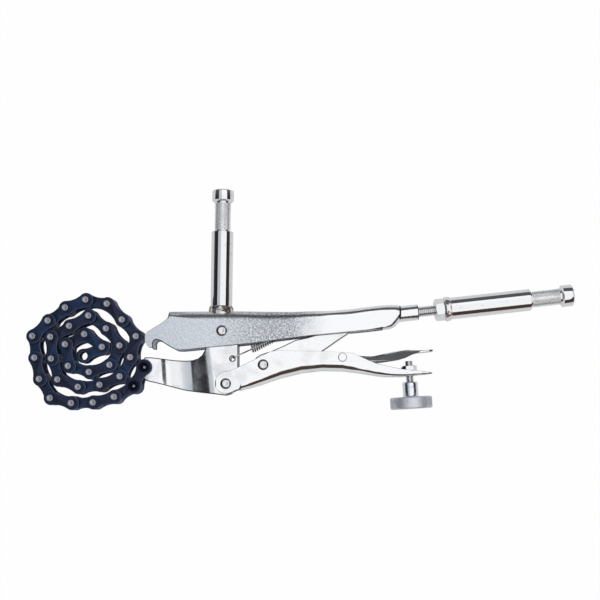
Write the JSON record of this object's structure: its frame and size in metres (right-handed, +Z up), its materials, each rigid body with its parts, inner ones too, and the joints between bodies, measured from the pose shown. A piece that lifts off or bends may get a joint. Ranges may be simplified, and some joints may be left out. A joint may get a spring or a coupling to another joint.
{
  "type": "chain clamp",
  "caption": "Locking pliers with a coiled roller chain on the jaw, an upright side spigot, a screw-driven rear spigot and a knurled knob that locks the release lever.",
  "frame": {"origin": "centre of the footprint at the lowest point, the clamp lying on its side", "axes": "+X from the jaw to the rear spigot, +Y from the lower handle to the side spigot, +Z up across the width of the tool"},
  "size_m": [0.4028, 0.1632, 0.031],
  "materials": {
    "chrome": "bright chrome plate",
    "satin_steel": "satin, bluish grey",
    "black_steel": "black oxide, oiled"
  },
  "bodies": {
    "handle": {"upper_handle": "chrome", "side_spigot": "chrome", "spigot_weld": "chrome", "jaw_pivot_rivet": "satin_steel", "jaw_spring": "satin_steel"},
    "jaw": {"jaw_cheek_front": "satin_steel", "jaw_cheek_back": "satin_steel", "handle_pivot_rivet": "satin_steel", "chain_anchor_rivet": "black_steel"},
    "lower_handle": {"lower_handle": "chrome", "toggle_rivet": "satin_steel", "release_rivet": "satin_steel", "lock_nut": "chrome"},
    "toggle_link": {"toggle_link": "chrome"},
    "release_lever": {"release_lever": "chrome"},
    "adjusting_screw": {"adjusting_screw": "satin_steel"},
    "rear_spigot": {"rear_spigot": "chrome", "jam_nut": "chrome"},
    "lock_screw": {"lock_screw": "satin_steel"},
    "lock_knob": {"lock_knob": "satin_steel"},
    "chain_anchor_link": {"anchor_plate_front": "black_steel", "anchor_plate_back": "black_steel", "anchor_link_rivet": "black_steel"},
    "chain_run_a": {"chain_link_01": "black_steel", "chain_link_02": "black_steel", "chain_link_03": "black_steel", "chain_link_04": "black_steel"},
    "chain_run_b": {"chain_link_05": "black_steel", "chain_link_06": "black_steel", "chain_link_07": "black_steel"},
    "chain_run_c": {"chain_link_08": "black_steel", "chain_link_09": "black_steel", "chain_link_10": "black_steel"},
    "chain_run_d": {"chain_link_11": "black_steel", "chain_link_12": "black_steel", "chain_link_13": "black_steel"},
    "chain_coil": {"chain_link_14": "black_steel", "chain_link_15": "black_steel", "chain_link_16": "black_steel", "chain_link_17": "black_steel", "chain_link_18": "black_steel", "chain_link_19": "black_steel", "chain_link_20": "black_steel", "chain_link_21": "black_steel", "chain_link_22": "black_steel", "chain_link_23": "black_steel", "chain_link_24": "black_steel", "chain_link_25": "black_steel", "chain_link_26": "black_steel", "chain_link_27": "black_steel", "chain_link_28": "black_steel", "chain_link_29": "black_steel", "chain_link_30": "black_steel", "chain_link_31": "black_steel"}
  },
  "joints": [
    {"name": "jaw_pivot", "type": "hinge", "parent": "handle", "child": "jaw", "pos_m": [-0.05822, -0.02363, 0.0155], "axis": [0, 0, 1], "range_deg": [0, 20], "deforming": ["jaw_spring"]},
    {"name": "handle_pivot", "type": "hinge", "parent": "jaw", "child": "lower_handle", "pos_m": [-0.05532, -0.06223, 0.0155], "axis": [0, 0, 1], "range_deg": [-70, 0]},
    {"name": "toggle_pivot", "type": "hinge", "parent": "lower_handle", "child": "toggle_link", "pos_m": [-0.02802, -0.04843, 0.0155], "axis": [0, 0, 1], "range_deg": [0, 68]},
    {"name": "release_lever_pivot", "type": "hinge", "parent": "lower_handle", "child": "release_lever", "pos_m": [0.02989, -0.04293, 0.0155], "axis": [0, 0, 1], "range_deg": [-2, 6]},
    {"name": "adjusting_screw_slide", "type": "slide", "parent": "handle", "child": "adjusting_screw", "axis": [0.994, 0.1097, 0], "range_m": [0, 0.012]},
    {"name": "rear_spigot_turn", "type": "hinge", "parent": "adjusting_screw", "child": "rear_spigot", "pos_m": [0.08628, -0.00903, 0.0155], "axis": [0.994, 0.1097, 0], "range_deg": [-30, 3100]},
    {"name": "lock_screw_slide", "type": "slide", "parent": "lower_handle", "child": "lock_screw", "axis": [-0.061, 0.9981, 0], "range_m": [-0.006, 0.0025]},
    {"name": "lock_knob_turn", "type": "hinge", "parent": "lock_screw", "child": "lock_knob", "pos_m": [0.07988, -0.05523, 0.0155], "axis": [-0.061, 0.9981, 0], "range_deg": [-2200, 930]},
    {"name": "chain_anchor_pivot", "type": "hinge", "parent": "jaw", "child": "chain_anchor_link", "pos_m": [-0.11532, -0.05003, 0.0155], "axis": [0, 0, 1], "range_deg": [-40, 0]},
    {"name": "chain_pin_01", "type": "hinge", "parent": "chain_anchor_link", "child": "chain_run_a", "pos_m": [-0.12318, -0.06382, 0.0155], "axis": [0, 0, 1], "range_deg": [0, 30.6]},
    {"name": "chain_pin_05", "type": "hinge", "parent": "chain_run_a", "child": "chain_run_b", "pos_m": [-0.18355, -0.07264, 0.0155], "axis": [0, 0, 1], "range_deg": [0, 47.4]},
    {"name": "chain_pin_08", "type": "hinge", "parent": "chain_run_b", "child": "chain_run_c", "pos_m": [-0.19631, -0.02754, 0.0155], "axis": [0, 0, 1], "range_deg": [0, 50.7]},
    {"name": "chain_pin_11", "type": "hinge", "parent": "chain_run_c", "child": "chain_run_d", "pos_m": [-0.15765, -0.00093, 0.0155], "axis": [0, 0, 1], "range_deg": [0, 33]},
    {"name": "chain_pin_14", "type": "hinge", "parent": "chain_run_d", "child": "chain_coil", "pos_m": [-0.12093, -0.02766, 0.0155], "axis": [0, 0, 1], "range_deg": [0, 55.9]}
  ],
  "couplings": [
    {"joint": "handle_pivot", "follows": "jaw_pivot", "ratio": -3.3733},
    {"joint": "toggle_pivot", "follows": "jaw_pivot", "ratio": 3.2631},
    {"joint": "rear_spigot_turn", "follows": "adjusting_screw_slide", "rad_per_m": 4456.2},
    {"joint": "lock_knob_turn", "follows": "lock_screw_slide", "rad_per_m": 6283.2},
    {"joint": "chain_pin_01", "follows": "chain_anchor_pivot", "ratio": -0.7516},
    {"joint": "chain_pin_05", "follows": "chain_anchor_pivot", "ratio": -1.1736},
    {"joint": "chain_pin_08", "follows": "chain_anchor_pivot", "ratio": -1.2545},
    {"joint": "chain_pin_11", "follows": "chain_anchor_pivot", "ratio": -0.8131},
    {"joint": "chain_pin_14", "follows": "chain_anchor_pivot", "ratio": -1.3842}
  ]
}
